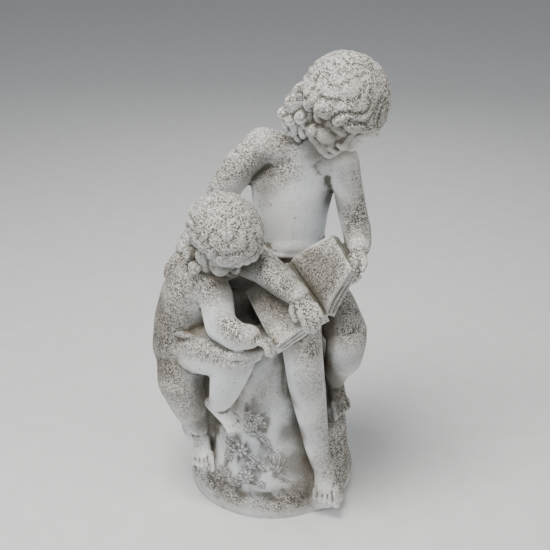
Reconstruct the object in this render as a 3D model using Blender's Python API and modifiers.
"""Concrete garden statue, cast in one piece: an elder child sits on a tree stump with an open book across
the lap, and a younger child leans in from the side to read it. Metres, +Z up, the readers face -Y.
The origin is the middle of the flat underside."""

import math

import bmesh
import bpy
from mathutils import Euler, Matrix, Vector, noise
from mathutils.bvhtree import BVHTree

# Driving dimensions, in metres
STATUE_HEIGHT = 0.700
BASE_WIDTH = 0.262
BASE_DEPTH = 0.250
BASE_EDGE = 0.024
BOOK_PAGE_WIDTH = 0.077
BOOK_PAGE_LENGTH = 0.106
BOOK_THICKNESS = 0.017
BOOK_SWELL = 0.008
BOOK_LAYERS = 5
BOOK_STEP = 0.0018

# How finely the casting is made
GRAIN = 0.0024
BODY_GRAIN = 0.0030
FINE_GRAIN = 0.0016
JOINING_GRAIN = 0.0050
HAIR_FINENESS = 6
CURL_FINENESS = 4
MOST_TRIANGLES = 9700

# The pose and the carving are in seven-hundredths of the height, which are millimetres at the real size
UNIT = STATUE_HEIGHT / 700


def ball_points(level):
    """The corners of a unit ball."""
    ball = bmesh.new()
    bmesh.ops.create_icosphere(ball, subdivisions=level, radius=1.0)
    points = [vert.co.copy() for vert in ball.verts]
    ball.free()
    return points


BALL = ball_points(2)


class Form:
    """An ellipsoid of flesh, hair, cloth or rock: its middle, its half sizes and its turn in degrees."""

    def __init__(self, x, y, z, across, deep=None, high=None, turn=(0, 0, 0)):
        deep = across if deep is None else deep
        high = across if high is None else high
        angles = Euler([math.radians(angle) for angle in turn])
        self.place = Matrix.LocRotScale(Vector((x, y, z)), angles, Vector((across, deep, high)))

    def points(self):
        return [self.place @ point * UNIT for point in BALL]


def add_hull(clay, forms):
    """Adds the smooth skin stretched round these forms."""
    hull = bmesh.new()
    for form in forms:
        for point in form.points():
            hull.verts.new(point)
    made = bmesh.ops.convex_hull(hull, input=hull.verts[:])
    spare = [item for item in made["geom_interior"] if isinstance(item, bmesh.types.BMVert)]
    bmesh.ops.delete(hull, geom=spare, context="VERTS")
    skin = bpy.data.meshes.new("hull")
    hull.to_mesh(skin)
    hull.free()
    clay.from_mesh(skin)
    bpy.data.meshes.remove(skin)


def add_limb(clay, *forms):
    """Adds a chain of forms, each joined to the next by a tapering skin."""
    for first, second in zip(forms, forms[1:]):
        add_hull(clay, (first, second))


def add_forms(clay, *forms):
    for form in forms:
        add_hull(clay, (form,))


def fused(name, clay, grain, rounds):
    """The clay's overlapping forms made one closed skin, with its joins rounded off."""
    mesh = bpy.data.meshes.new(name)
    clay.to_mesh(mesh)
    clay.free()
    lump = bpy.data.objects.new(name, mesh)
    bpy.context.scene.collection.objects.link(lump)
    remesh = lump.modifiers.new("one skin", "REMESH")
    remesh.mode = "VOXEL"
    remesh.voxel_size = grain
    if rounds:
        smooth = lump.modifiers.new("rounded joins", "SMOOTH")
        smooth.factor = 0.5
        smooth.iterations = rounds
    return baked(lump)


def baked(lump):
    """The object's mesh as its modifiers leave it, with the object itself removed."""
    graph = bpy.context.evaluated_depsgraph_get()
    mesh = bpy.data.meshes.new_from_object(lump.evaluated_get(graph))
    source = lump.data
    bpy.data.objects.remove(lump)
    bpy.data.meshes.remove(source)
    return mesh


def turned_frame(x, y, z, nod=0.0, look=0.0, tilt=0.0):
    """A frame at a point of the pose. Its -Y is nodded down, then looks round to +X, its +Z tilts to +X."""
    turn = (
        Matrix.Rotation(math.radians(look), 4, "Z")
        @ Matrix.Rotation(math.radians(nod), 4, "X")
        @ Matrix.Rotation(math.radians(tilt), 4, "Y")
    )
    return Matrix.Translation(Vector((x, y, z))) @ turn


def framed(frame, *forms):
    """These forms carried from their own frame into the pose."""
    for form in forms:
        form.place = frame @ form.place
    return forms


# The tree stump and the round base
LEDGE_HEIGHT = 88
SEAT_HEIGHT = 288


def add_disc(clay, width, depth, low, high):
    """A flat elliptical slab, in metres."""
    place = Matrix.LocRotScale(
        Vector((0, 0, (low + high) / 2)), None, Vector((width, depth, high - low))
    )
    bmesh.ops.create_cone(
        clay, cap_ends=True, segments=64, radius1=0.5, radius2=0.5, depth=1.0, matrix=place
    )


def stump():
    """The round base, the ledge that the younger child stands on, and the stump that carries the seat."""
    clay = bmesh.new()
    add_disc(clay, BASE_WIDTH, BASE_DEPTH, -BASE_EDGE, BASE_EDGE)
    ledge = LEDGE_HEIGHT - 16
    add_hull(clay, (
        Form(-66, -58, 30, 52, 46, 14), Form(-78, -50, ledge, 42, 34, 14), Form(-60, 56, 30, 58, 56, 16),
        Form(-66, 26, ledge + 20, 46, 50, 22),
    ))
    add_hull(clay, (
        Form(58, -48, 28, 66, 60, 14), Form(58, 54, 28, 64, 60, 16), Form(-50, 52, 28, 62, 60, 16),
        Form(-40, -46, 36, 58, 58, 18), Form(74, -30, 116, 42, 44, 20), Form(66, 44, 126, 50, 54, 24),
        Form(-30, 46, 126, 54, 54, 24), Form(-26, -52, 104, 48, 40, 26),
    ))
    add_hull(
        clay, (Form(80, -88, 20, 34, 30, 20), Form(84, -98, 26, 28, 24, 18), Form(76, -74, 60, 26, 26, 24)),
    )
    seat = SEAT_HEIGHT - 22
    add_hull(clay, (
        Form(58, -14, 118, 46, 46, 24), Form(60, 44, 126, 48, 50, 24), Form(-34, 46, 126, 52, 52, 24),
        Form(-18, -54, 100, 46, 40, 26), Form(62, 28, seat, 44, 56, 22), Form(-26, 24, seat, 44, 56, 22),
        Form(8, -34, seat, 40, 36, 22),
    ))
    add_hull(clay, (
        Form(-22, -54, 244, 26, 26, 30), Form(22, -58, 244, 26, 26, 30), Form(-54, -62, 56, 44, 40, 24),
        Form(-8, -72, 50, 40, 40, 24), Form(30, -66, 50, 40, 38, 24), Form(-34, -72, 116, 34, 26, 30),
        Form(0, -74, 120, 34, 26, 30),
    ))
    add_hull(clay, (
        Form(-34, -60, 290, 20, 30, 20), Form(20, -64, 290, 20, 30, 20), Form(-34, -68, 150, 30, 28, 26),
        Form(22, -68, 150, 30, 28, 26), Form(0, -74, 116, 34, 26, 26),
    ))
    add_hull(
        clay,
        (Form(-104, -30, 236, 36), Form(-108, -32, 110, 34), Form(-40, -10, 236, 40), Form(-40, -10, 110, 40)),
    )
    add_hull(
        clay,
        (Form(-104, -24, 330, 34), Form(-20, -6, 326, 36), Form(-40, -20, 250, 40), Form(-100, -20, 250, 40)),
    )
    return fused("stump", clay, JOINING_GRAIN, 8)


# The two heads, each in its own frame: the face looks along -Y and the crown is at +Z
ELDER_HEAD = turned_frame(98, -24, 616, nod=34, look=10, tilt=28)
YOUNGER_HEAD = turned_frame(-64, -70, 446, nod=46, look=60, tilt=0)


def both_sides(*shapes):
    """Each shape and its mirror image across the middle of the face."""
    return [[(side * x, *rest) for x, *rest in shape] for shape in shapes for side in (-1, 1)]


# How the face is pressed and filled after its forms are joined: x and z of the middle, half width,
# half height, and how far the surface is pushed in. A minus pushes it out.
FACE = (
    (17, 3, 10, 6, 2.6), (-17, 3, 10, 6, 2.6), (17, -4, 8, 4.5, -2.4), (-17, -4, 8, 4.5, -2.4),
    (17, -9, 7, 1.7, 1.2), (-17, -9, 7, 1.7, 1.2), (7, 1, 4, 8, 1.2), (-7, 1, 4, 8, 1.2),
    (0, -35.5, 9, 1.5, 1.7), (10, -35, 2.6, 3, 1.2), (-10, -35, 2.6, 3, 1.2), (0, -42.5, 8, 2.6, 1.4),
    (0, -28.5, 2, 3, 0.6), (4, -32, 4, 2, -0.7), (-4, -32, 4, 2, -0.7), (0, -38.5, 6, 2, -0.9),
)


def head(frame, size):
    """A plain, calm child's head of ordinary proportions, its lids lowered. The hair comes on top of it."""
    clay = bmesh.new()
    solids = [
        [(0, 8, 12, 47, 54, 49)],
        [(0, -13, 2, 41, 33, 32), (0, -16, -26, 33, 28, 22), (0, -31, -44, 14, 12, 9)],
        [(0, -41, 3, 4), (0, -45.5, -10, 4), (0, -49.5, -20, 4.8)],
        [(-8, -42, -35, 3.5), (0, -46, -34.5, 4), (8, -42, -35, 3.5)],
        [(0, -37, -48, 9, 8.5, 7)],
        [(0, 10, -20, 26, 28, 20), (0, 14, -40, 24, 24, 16)],
    ]
    solids += both_sides(
        [(19, -30, -22, 16, 14.5, 15)], [(4.6, -46.5, -21.5, 3.6)],
        [(32, 0, -24, 12), (24, -14, -40, 11), (6, -31, -45, 11)],
    )
    for solid in solids:
        forms = framed(frame, *[Form(*(size * value for value in shape)) for shape in solid])
        if len(forms) == 1:
            add_forms(clay, *forms)
        else:
            add_limb(clay, *forms)
    mesh = fused("head", clay, FINE_GRAIN, 3)
    back = frame.inverted()
    for vert in mesh.vertices:
        x, y, z = back @ (vert.co / UNIT) / size
        if y < -20:
            push = sum(
                depth * math.exp(-(((x - x0) / wide) ** 2) - ((z - z0) / high) ** 2)
                for x0, z0, wide, high, depth in FACE
            )
            vert.co += frame.to_3x3() @ Vector((0, push * size * UNIT, 0))
    return mesh


def add_hair(clay, frame, size, hem_front, hem_back, locks, depth, sweep, fuller):
    """A cap of carved hair: wavy locks leave the crown, sweep round the head and end in a scalloped hem,
    which is short over the brow and longer towards the nape. One side of it is fuller by so many units."""
    made = bmesh.ops.create_icosphere(clay, subdivisions=HAIR_FINENESS, radius=1.0)
    for vert in made["verts"]:
        way = vert.co.normalized()
        around = math.atan2(way.x, -way.y)
        down = math.acos(max(-1.0, min(1.0, way.z)))
        stray = noise.noise(way * 1.8)
        wave = 0.4 * math.sin(6.2 * down + 2.3 * math.sin(2 * around)) + sweep * down + 0.8 * stray
        turn = math.pi * (locks * around / math.tau + wave)
        ridge = abs(math.sin(turn))
        strand = abs(math.sin(3 * turn + 2 * stray))
        hem = hem_front + (hem_back - hem_front) * min(1.0, 0.75 * (1 - math.cos(around))) + 5 * ridge
        below = math.degrees(down) - hem
        carved = depth * (1 + 0.8 * noise.noise(way * 3.4 + Vector((7, 3, 5))))
        carved *= min(1.0, max(0.34, 1 + (below + 14) / 50))
        lift = (carved * (math.sqrt(ridge) - 0.6) + 0.14 * carved * strand) * min(1.0, down / 0.3)
        lift += fuller * max(0.0, -way.x) ** 1.5
        lift += 2.2 * math.exp(-(((below + 10) / 10) ** 2))
        sunk = 1 - 0.3 * min(1.0, max(0.0, below / 9)) ** 2
        point = Vector((way.x * (48 + lift), 7 + way.y * (55 + lift), 12 + way.z * (50 + lift)))
        point = Vector((0, 7, 4)).lerp(point, sunk) * size
        vert.co = frame @ point * UNIT


def add_curl(clay, x, y, z, radius, turns, look=0, nod=-25, hand=1):
    """A lock rolled up into a snail that faces the reader, with the groove of the spiral cut into it."""
    frame = turned_frame(x, y, z, nod=nod, look=look)
    made = bmesh.ops.create_icosphere(clay, subdivisions=CURL_FINENESS, radius=1.0)
    for vert in made["verts"]:
        way = vert.co.normalized()
        out = math.hypot(way.x, way.z)
        spiral = hand * math.atan2(way.z, way.x) - math.tau * turns * out
        groove = max(0.0, math.cos(spiral)) ** 1.5 * min(1.0, 3 * out)
        raised = 1 - 0.5 * groove
        point = Vector((
            way.x * radius * (1 - 0.12 * groove), way.y * radius * 0.8 * raised,
            way.z * radius * (1 - 0.12 * groove),
        ))
        vert.co = frame @ point * UNIT


def add_tress(clay, start, end, radius, turns, phase=0.0):
    """A long curl that hangs free: a tapering lock with a groove wound round it."""
    start, end = Vector(start), Vector(end)
    along = (end - start).normalized()
    side = along.cross(Vector((0, 1, 0))).normalized()
    front = along.cross(side)
    made = bmesh.ops.create_icosphere(clay, subdivisions=CURL_FINENESS, radius=1.0)
    for vert in made["verts"]:
        way = vert.co.normalized()
        share = (way.z + 1) / 2
        angle = math.atan2(way.y, way.x)
        reach = radius * (1 - way.z ** 4) ** 0.5 * (1 - 0.45 * share)
        reach *= 1 - 0.42 * max(0.0, math.cos(angle + math.tau * turns * share + phase)) ** 2
        point = start.lerp(end, share) + side * reach * math.cos(angle) + front * reach * math.sin(angle)
        vert.co = point * UNIT


def hand_forms(size, curl, spread=1.0):
    """A small hand: its wrist is at the origin, its fingers point along -Y and its back faces +Z."""
    palm = [
        Form(0, 0, 0, 12 * size, 10 * size, 9 * size), Form(0, -22 * size, 0, 15 * size, 13 * size, 8 * size),
    ]
    fingers = []
    for number in range(4):
        side = (number - 1.5) * 8.2 * size * spread
        reach = size * (11.5 - 2 * abs(number - 1.3))
        y, z, angle = -30 * size, 1 * size, 0.15
        chain = [Form(side * 0.9, y, z, 5.9 * size)]
        for _ in range(3):
            y -= reach * math.cos(angle)
            z -= reach * math.sin(angle)
            angle += curl
            chain.append(Form(side, y, z, 5.3 * size))
        fingers.append(chain)
    return palm, fingers


def add_hand(clay, frame, size, curl, thumb_side):
    palm, fingers = hand_forms(size, curl)
    add_limb(clay, *framed(frame, *palm))
    for chain in fingers:
        add_limb(clay, *framed(frame, *chain))
    add_limb(clay, *framed(
        frame, Form(thumb_side * 9 * size, -8 * size, -2 * size, 7 * size),
        Form(thumb_side * 19 * size, -20 * size, -5 * size, 6 * size),
        Form(thumb_side * 20 * size, -32 * size, -8 * size, 5 * size),
    ))


def add_foot(clay, frame, size, big_toe_side):
    """A bare foot: its ankle is at the origin, its toes point along -Y and its sole faces -Z."""
    add_limb(clay, *framed(
        frame, Form(0, 4 * size, 1 * size, 18 * size, 18 * size, 18 * size),
        Form(0, -18 * size, -5 * size, 17 * size, 16 * size, 13 * size),
        Form(0, -36 * size, -10 * size, 19 * size, 13 * size, 9 * size),
    ))
    add_limb(clay, *framed(
        frame, Form(0, 14 * size, -8 * size, 13 * size),
        Form(0, -36 * size, -11 * size, 18 * size, 12 * size, 8 * size),
    ))
    for number in range(5):
        side = big_toe_side * (14.5 - 8.4 * number + (1.8 if number == 0 else 0)) * size
        length = (66 - 3.2 * number) * size
        radius = (6.6 if number == 0 else 4.5 - 0.15 * number) * size
        add_limb(clay, *framed(
            frame, Form(side * 0.95, -38 * size, -8 * size, radius),
            Form(side, (4 - length), -12 * size, radius * 0.92),
            Form(side, -length, -15 * size, radius),
        ))


# The elder child
def elder_body():
    clay = bmesh.new()
    neck = Form(70, 10, 562, 25, 25, 18)
    add_limb(
        clay, Form(34, 42, 318, 58, 50, 40), Form(36, 32, 366, 52, 46, 30), Form(31, 27, 408, 47, 37, 30),
        Form(28, 25, 450, 55, 36, 36), Form(30, 22, 492, 61, 34, 36, turn=(0, 8, 0)),
        Form(46, 20, 530, 50, 27, 20, turn=(0, 8, 0)), neck,
    )
    add_forms(clay, Form(32, 9, 398, 37, 23, 30))
    add_limb(clay, neck, *framed(ELDER_HEAD, Form(0, 12, -20, 27)))
    add_limb(
        clay, Form(20, 20, 540, 24), Form(-12, 16, 549, 26), Form(-40, 20, 522, 25), Form(-64, 24, 488, 24),
        Form(-79, 26, 453, 22), Form(-101, 12, 424, 19), Form(-122, -8, 404, 17),
    )
    add_limb(
        clay, Form(70, 16, 530, 24), Form(99, 8, 529, 24), Form(107, 2, 494, 21), Form(115, -2, 456, 21),
        Form(121, -10, 433, 21), Form(120, -50, 432, 19), Form(119, -80, 438, 15),
    )
    add_limb(clay, Form(10, 50, 308, 44), Form(26, -30, 308, 38), Form(41, -98, 312, 30))
    add_limb(
        clay, Form(41, -104, 312, 29), Form(44, -112, 288, 28), Form(50, -108, 236, 27),
        Form(60, -103, 170, 22),
        Form(68, -101, 118, 18.5), Form(74, -99, 94, 17.5), Form(78, -98, 82, 17),
    )
    add_limb(clay, Form(62, 46, 308, 44), Form(88, -20, 312, 37), Form(106, -80, 306, 30))
    add_limb(
        clay, Form(106, -90, 298, 29), Form(104, -78, 262, 27), Form(98, -52, 226, 21),
        Form(97, -38, 200, 15), Form(97, -34, 190, 13),
    )
    return fused("elder body", clay, BODY_GRAIN, 5)


# The curls at the elder child's temple and cheek: x, y, z, radius, turns and which way round each is wound
ELDER_CURLS = (
    (64, -50, 612, 11, 1.6, 1), (50, -40, 624, 10, 1.5, -1), (40, -26, 640, 11, 1.4, 1),
    (40, -32, 604, 11, 1.5, 1),
    (28, -16, 620, 11, 1.4, -1), (17, -8, 603, 10, 1.5, 1), (56, -50, 592, 9, 1.4, -1),
    (26, -18, 596, 9, 1.4, 1),
    (134, -48, 588, 8, 1.4, -1),
)
# Its longer locks that hang towards the shoulder: start, end and radius
ELDER_TRESSES = (
    ((48, -26, 612), (42, -26, 572), 12), ((34, -16, 604), (29, -12, 570), 11),
    ((22, -6, 598), (18, -4, 570), 9),
    ((60, -38, 600), (54, -34, 570), 9), ((42, -4, 600), (36, -2, 560), 13),
    ((56, 14, 596), (50, 16, 554), 14),
    ((76, 30, 590), (70, 30, 548), 15), ((100, 32, 586), (96, 30, 548), 14),
    ((124, 22, 590), (118, 20, 556), 12),
)


def elder_hair():
    clay = bmesh.new()
    add_hair(clay, ELDER_HEAD, 1.07, 86, 118, 15, 6.0, 0.9, 11)
    add_limb(
        clay, Form(62, -18, 636, 24), Form(42, -12, 622, 20), Form(28, -4, 604, 15), Form(22, -4, 592, 11),
    )
    add_limb(clay, Form(70, 8, 610, 26), Form(58, 4, 590, 22))
    for x, y, z, radius, turns, hand in ELDER_CURLS:
        add_curl(clay, x, y, z, radius, turns, look=(x - 70) * 0.5, hand=hand)
    for start, end, radius in ELDER_TRESSES:
        add_tress(clay, start, end, radius, 1.6, start[0])
    return fused("elder hair", clay, FINE_GRAIN, 1)


# The younger child
def younger_body():
    clay = bmesh.new()
    neck = Form(-84, -60, 410, 26, 24, 18)
    add_limb(
        clay, Form(-128, -34, 256, 50, 46, 42), Form(-126, -36, 304, 46, 42, 34),
        Form(-113, -44, 350, 46, 42, 34),
        Form(-98, -54, 386, 38, 34, 24), neck,
    )
    add_limb(clay, neck, *framed(YOUNGER_HEAD, Form(0, 11, -18, 25)))
    add_limb(
        clay, Form(-90, -66, 384, 26), Form(-77, -84, 364, 24), Form(-70, -108, 332, 22),
        Form(-48, -130, 328, 20),
        Form(-30, -140, 333, 17),
    )
    add_limb(
        clay, Form(-84, -50, 392, 26), Form(-46, -28, 398, 25), Form(-12, -60, 398, 24),
        Form(18, -96, 390, 21),
        Form(36, -118, 384, 16),
    )
    add_limb(clay, Form(-128, -34, 250, 44), Form(-134, -54, 208, 37), Form(-123, -62, 162, 26))
    add_limb(
        clay, Form(-123, -62, 162, 26), Form(-115, -58, 134, 19), Form(-109, -56, 118, 14),
        Form(-108, -57, 110, 13),
    )
    add_limb(clay, Form(-112, -50, 262, 38), Form(-84, -92, 280, 35), Form(-53, -119, 284, 31))
    add_limb(
        clay, Form(-53, -119, 284, 31), Form(-61, -117, 252, 26), Form(-68, -112, 224, 21),
        Form(-74, -107, 205, 17),
    )
    return fused("younger body", clay, BODY_GRAIN, 5)


YOUNGER_CURLS = (
    (-104, -88, 412, 10, 1.4, 1), (-112, -72, 424, 10, 1.3, -1), (-112, -62, 442, 9, 1.3, 1),
    (-88, -104, 412, 9, 1.3, -1),
)


def younger_hair():
    clay = bmesh.new()
    add_hair(clay, YOUNGER_HEAD, 0.99, 84, 116, 13, 5.2, 0.6, 2)
    for x, y, z, radius, turns, hand in YOUNGER_CURLS:
        add_curl(clay, x, y, z, radius, turns, look=-30, hand=hand)
    # A lock that closes the slit between the hair and the cheek
    add_forms(clay, Form(-21, -68, 428, 4))
    return fused("younger hair", clay, FINE_GRAIN, 1)


# The open book: the middle of its gutter, the way the gutter runs away from the elder child, and how each
# page leaves the gutter at its near and its far end, in widths of a page
GUTTER_MIDDLE = Vector((51, -84, 377))
GUTTER_WAY = Vector((0.458, -0.822, -0.346)).normalized()
PAGE_WAYS = (
    (Vector((0.75, 0.13, 0.52)), Vector((0.38, -0.09, 0.95))),
    (Vector((-0.84, -0.26, -0.46)), Vector((-0.92, -0.29, -0.51))),
)


def book():
    """Two blocks of pages: each dips into the gutter and swells beside it, and its layers step in and out."""
    clay = bmesh.new()
    columns, rows = 16, 6
    for near_way, far_way in PAGE_WAYS:
        middle_way = (near_way + far_way) / 2
        up = middle_way.cross(GUTTER_WAY).normalized()
        up *= 1 if up.z > 0 else -1
        for number in range(BOOK_LAYERS):
            top = BOOK_THICKNESS * number / BOOK_LAYERS
            bottom = BOOK_THICKNESS * (number + 1.1) / BOOK_LAYERS
            inset = BOOK_STEP if number % 2 else 0.0
            grid = []
            for drop in (top, bottom):
                for row in range(rows + 1):
                    far = row / rows
                    start = GUTTER_MIDDLE * UNIT + GUTTER_WAY * (far - 0.5) * (BOOK_PAGE_LENGTH - 2 * inset)
                    way = near_way.lerp(far_way, far)
                    for column in range(columns + 1):
                        out = column / columns
                        swell = BOOK_SWELL * math.sin(math.pi * min(1.0, out) ** 0.55)
                        level = swell * (1 - 0.7 * drop / BOOK_THICKNESS) - drop
                        grid.append(
                            clay.verts.new(start + way * out * (BOOK_PAGE_WIDTH - inset) + up * level),
                        )
            wide, side = columns + 1, (columns + 1) * (rows + 1)

            def quad(*corners):
                clay.faces.new([grid[corner] for corner in corners])

            for row in range(rows):
                for column in range(columns):
                    at = row * wide + column
                    quad(at, at + 1, at + wide + 1, at + wide)
                    quad(side + at, side + at + wide, side + at + wide + 1, side + at + 1)
            for column in range(columns):
                far = rows * wide + column
                quad(column, side + column, side + column + 1, column + 1)
                quad(far, far + 1, side + far + 1, side + far)
            for row in range(rows):
                at, end = row * wide, row * wide + columns
                quad(at, at + wide, side + at + wide, side + at)
                quad(end, side + end, side + end + wide, end + wide)
    bmesh.ops.recalc_face_normals(clay, faces=clay.faces[:])
    return fused("book", clay, FINE_GRAIN, 0)


def hands_and_feet():
    clay = bmesh.new()
    add_foot(clay, turned_frame(79, -99, 82, nod=50, look=8), 0.90, 1)
    add_foot(clay, turned_frame(97, -30, 186, nod=42, look=22), 0.76, -1)
    add_foot(clay, turned_frame(-108, -58, 108, nod=26, look=6), 0.78, 1)
    add_foot(clay, turned_frame(-78, -105, 197, nod=26, look=56), 0.74, 1)
    add_hand(clay, turned_frame(36, -116, 387, nod=30, look=30, tilt=-20), 0.94, 0.42, -1)
    add_hand(clay, turned_frame(-32, -140, 331, nod=2, look=66, tilt=14), 0.74, 0.6, 1)
    add_hand(clay, turned_frame(119, -84, 434, nod=26, look=-34, tilt=-24), 0.90, 0.85, 1)
    add_hand(clay, turned_frame(-122, -8, 404, nod=40, look=-46), 0.90, 0.3, 1)
    return fused("hands and feet", clay, FINE_GRAIN, 1)


def add_fold(clay, *points):
    """A soft ridge of cloth: each point gives x, y, z and how thick the ridge is there."""
    add_limb(clay, *[Form(*point) for point in points])


def drapery():
    """Cloth over the elder's lap, hanging in folds beside the shin and down the back of the stump, and a
    rolled cloth round the younger child's hips, knotted at the side."""
    clay = bmesh.new()
    for low, thick in ((-4, 14), (9, 10)):
        add_fold(
            clay, (-26, 34, 346 + low, thick + 6), (-10, -6, 352 + low, thick + 4),
            (34, -18, 354 + low, thick + 2),
            (76, -10, 352 + low, thick + 4), (92, 32, 344 + low, thick + 6),
        )
    add_fold(
        clay, (-20, 32, 400, 5), (-10, 4, 395, 5), (12, -9, 391, 5), (36, -11, 392, 5), (60, -3, 397, 5),
        (78, 18, 403, 5),
    )
    add_limb(clay, Form(-22, 10, 326, 28), Form(6, -46, 320, 28), Form(10, -84, 312, 22))
    add_limb(clay, Form(10, -30, 326, 34), Form(76, -36, 322, 36))
    add_hull(clay, (
        Form(-38, -78, 300, 14), Form(22, -82, 300, 14), Form(20, -86, 202, 10), Form(-36, -84, 196, 10),
    ))
    add_hull(clay, (
        Form(-34, 62, 296, 14), Form(86, 62, 296, 14), Form(-44, 76, 226, 9), Form(94, 74, 226, 9),
        Form(26, 86, 210, 9), Form(0, 68, 320, 16), Form(56, 68, 320, 16), Form(26, 82, 292, 12),
    ))
    for number in range(9):
        x = -44 + 17.5 * number
        bulge = 90 - ((x - 26) / 18) ** 2 * 0.9
        bottom = 222 + 10 * (number % 2) + 6 * (number % 3)
        add_fold(
            clay, (x * 0.8 + 6, bulge - 14, 322, 7), (x * 0.94, bulge - 2, 288, 6),
            (x + 4 * (number % 2), bulge, 250, 6),
            (x + 2, bulge - 3, bottom, 5),
        )
    add_limb(
        clay, Form(-127, -33, 292, 46, 43, 10), Form(-129, -35, 262, 47, 45, 16),
        Form(-131, -40, 232, 41, 39, 12),
    )
    add_fold(
        clay, (-167, -2, 300, 5.5), (-167, -36, 300, 5.5), (-149, -64, 300, 5.5), (-122, -80, 300, 6),
        (-94, -95, 296, 7),
    )
    add_fold(
        clay, (-88, -106, 292, 9), (-72, -127, 299, 9.5), (-53, -140, 303, 9), (-34, -140, 304, 8),
        (-16, -128, 304, 7),
    )
    add_fold(
        clay, (-86, -110, 280, 6), (-70, -133, 286, 6), (-52, -145, 291, 5.5), (-34, -144, 293, 5),
        (-18, -132, 295, 5),
    )
    add_forms(clay, Form(-92, -106, 301, 11, 10, 11), Form(-79, -112, 289, 9, 9, 13))
    add_fold(clay, (-94, -106, 288, 8), (-91, -112, 272, 8), (-88, -113, 258, 5))
    return fused("drapery", clay, BODY_GRAIN, 2)


# The flowers and grass carved in low relief on the front of the stump: x, z, size and number of petals of
# each flower, and x and z along each blade
FLOWERS = (
    (-40, 66, 13, 9), (-49, 111, 14, 8), (-62, 122, 8, 6), (-21, 165, 9, 6), (-33, 170, 8, 6),
    (-27, 153, 8, 6),
    (-14, 156, 6, 5), (-66, 96, 7, 6), (-30, 86, 7, 5), (-86, 58, 9, 6), (-70, 66, 7, 5), (-102, 72, 7, 5),
    (-16, 54, 7, 5), (-56, 48, 8, 6), (104, 92, 8, 6), (112, 118, 7, 5), (98, 62, 7, 5),
)
BLADES = (
    ((-41, 146), (-24, 146), (-8, 134), (-1, 116)), ((-38, 141), (-20, 137), (-8, 125), (-2, 114)),
    ((-1, 116), (-6, 102), (5, 74)), ((5, 74), (16, 64), (28, 54)), ((5, 74), (-2, 92), (-4, 108)),
    ((5, 74), (3, 92), (4, 110)), ((6, 74), (11, 92), (13, 108)), ((7, 72), (16, 86), (21, 98)),
    ((-34, 101), (-24, 90), (-10, 78)), ((-30, 104), (-16, 92), (-4, 78)), ((-90, 40), (-100, 56), (-96, 82)),
    ((-80, 38), (-74, 52), (-80, 74)), ((-60, 34), (-54, 44), (-62, 60)),
)


def relief(ground):
    """The flowers and blades laid on the surface of the stump as it is seen from the front."""
    tree = BVHTree.FromPolygons(
        [vert.co[:] for vert in ground.vertices], [face.vertices[:] for face in ground.polygons]
    )

    def on_ground(x, z, raised):
        hit = tree.ray_cast(Vector((x * UNIT, -1, z * UNIT)), Vector((0, 1, 0)))[0]
        return (x, hit.y / UNIT - raised, z) if hit else None

    clay = bmesh.new()
    for x, z, size, petals in FLOWERS:
        for number in range(petals):
            angle = math.tau * (number + 0.3) / petals
            petal = on_ground(x + 0.62 * size * math.cos(angle), z + 0.62 * size * math.sin(angle), -0.6)
            wide = size * 1.6 / petals
            if petal:
                add_forms(clay, Form(*petal, 0.37 * size, 2.8, wide, turn=(0, -math.degrees(angle), 0)))
        heart = on_ground(x, z, -0.4)
        if heart:
            add_forms(clay, Form(*heart, 0.22 * size, 3, 0.22 * size))
    for line in BLADES:
        forms = []
        for (x0, z0), (x1, z1) in zip(line, line[1:]):
            for step in range(4):
                share = step / 4
                forms.append((on_ground(x0 + (x1 - x0) * share, z0 + (z1 - z0) * share, -0.2), 1.4))
        forms.append((on_ground(*line[-1], -0.6), 1.0))
        for (point, thick), (after, thin) in zip(forms, forms[1:]):
            if point and after and abs(point[1] - after[1]) < 12:
                add_hull(clay, (Form(*point, thick), Form(*after, thin)))
    return fused("relief", clay, FINE_GRAIN, 0)


# Where the carving is finest, as x, y, z and how far it reaches, so that the thinning spares it
CARVED = (
    (90, -50, 606, 62), (-70, -86, 440, 54), (42, -130, 380, 38), (-10, -148, 338, 30), (119, -95, 430, 36),
    (-136, -20, 392, 28), (86, -120, 44, 38), (104, -54, 168, 32), (-106, -82, 92, 34), (-70, -124, 182, 32),
    (-40, -96, 66, 22), (-49, -84, 111, 22),
)


def largest_shell(solid):
    """Everything but the largest shell is deleted: the rest are crumbs too small to be cast."""
    left = set(solid.verts)
    largest = set()
    while left:
        shell = {left.pop()}
        edge_of_shell = list(shell)
        while edge_of_shell:
            vert = edge_of_shell.pop()
            for edge in vert.link_edges:
                other = edge.other_vert(vert)
                if other not in shell:
                    shell.add(other)
                    edge_of_shell.append(other)
        left -= shell
        if len(shell) > len(largest):
            largest = shell
    bmesh.ops.delete(solid, geom=[vert for vert in solid.verts if vert not in largest], context="VERTS")


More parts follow.
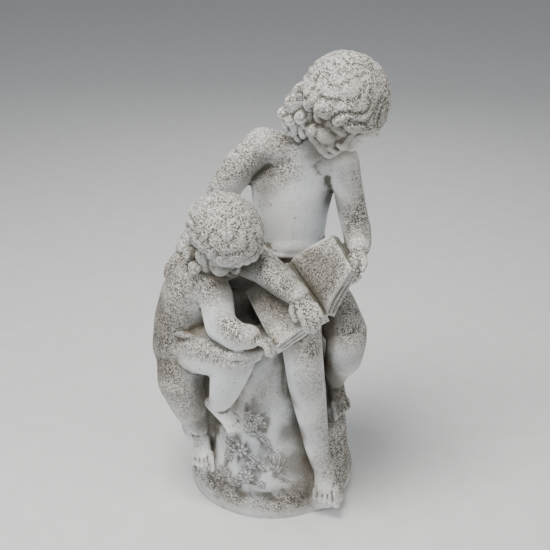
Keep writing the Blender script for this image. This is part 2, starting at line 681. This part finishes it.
def casting():
    """All the forms joined at the fine grain, thinned to plain triangles and cut off flat underneath."""
    clay = bmesh.new()
    ground = stump()
    for mesh in (
        relief(ground), ground, elder_body(), head(ELDER_HEAD, 1.06), elder_hair(), younger_body(),
        head(YOUNGER_HEAD, 0.92), younger_hair(), book(), hands_and_feet(), drapery(),
    ):
        clay.from_mesh(mesh)
        bpy.data.meshes.remove(mesh)
    skin = bpy.data.meshes.new("skin")
    clay.to_mesh(skin)
    clay.free()
    lump = bpy.data.objects.new("skin", skin)
    bpy.context.scene.collection.objects.link(lump)
    remesh = lump.modifiers.new("one casting", "REMESH")
    remesh.mode = "VOXEL"
    remesh.voxel_size = GRAIN
    smooth = lump.modifiers.new("worn", "SMOOTH")
    smooth.iterations = 1
    fine = baked(lump)
    fine.calc_loop_triangles()
    lump = bpy.data.objects.new("skin", fine)
    bpy.context.scene.collection.objects.link(lump)
    plain = lump.vertex_groups.new(name="plain")
    for vert in fine.vertices:
        near = min((vert.co / UNIT - Vector(middle)).length / reach for *middle, reach in CARVED)
        plain.add([vert.index], min(1.0, max(0.05, 4 * near - 3.5)), "REPLACE")
    thin = lump.modifiers.new("thinned", "DECIMATE")
    thin.ratio = MOST_TRIANGLES / len(fine.loop_triangles)
    thin.vertex_group = "plain"
    thin.vertex_group_factor = 0.14
    mesh = baked(lump)
    mesh.transform(Matrix.Scale(STATUE_HEIGHT / max(vert.co.z for vert in mesh.vertices), 4))
    solid = bmesh.new()
    solid.from_mesh(mesh)
    largest_shell(solid)
    cut = bmesh.ops.bisect_plane(
        solid, geom=solid.verts[:] + solid.edges[:] + solid.faces[:], plane_co=(0, 0, 0), plane_no=(0, 0, -1),
        clear_outer=True,
    )
    rim = [item for item in cut["geom_cut"] if isinstance(item, bmesh.types.BMEdge)]
    bmesh.ops.holes_fill(solid, edges=rim)
    bmesh.ops.triangulate(solid, faces=solid.faces[:])
    solid.to_mesh(mesh)
    solid.free()
    return mesh


def concrete():
    """Weathered grey concrete."""
    material = bpy.data.materials.new("concrete")
    material.use_nodes = True
    shader = material.node_tree.nodes["Principled BSDF"]
    shader.inputs["Base Color"].default_value = (0.46, 0.45, 0.42, 1)
    shader.inputs["Roughness"].default_value = 0.9
    shader.inputs["Metallic"].default_value = 0.0
    return material


def main():
    for old in list(bpy.data.objects):
        bpy.data.objects.remove(old)
    mesh = casting()
    mesh.name = "statue"
    mesh.materials.append(concrete())
    statue = bpy.data.objects.new("statue", mesh)
    group = bpy.data.collections.new("garden statue")
    bpy.context.scene.collection.children.link(group)
    group.objects.link(statue)
    mesh.shade_smooth()


main()
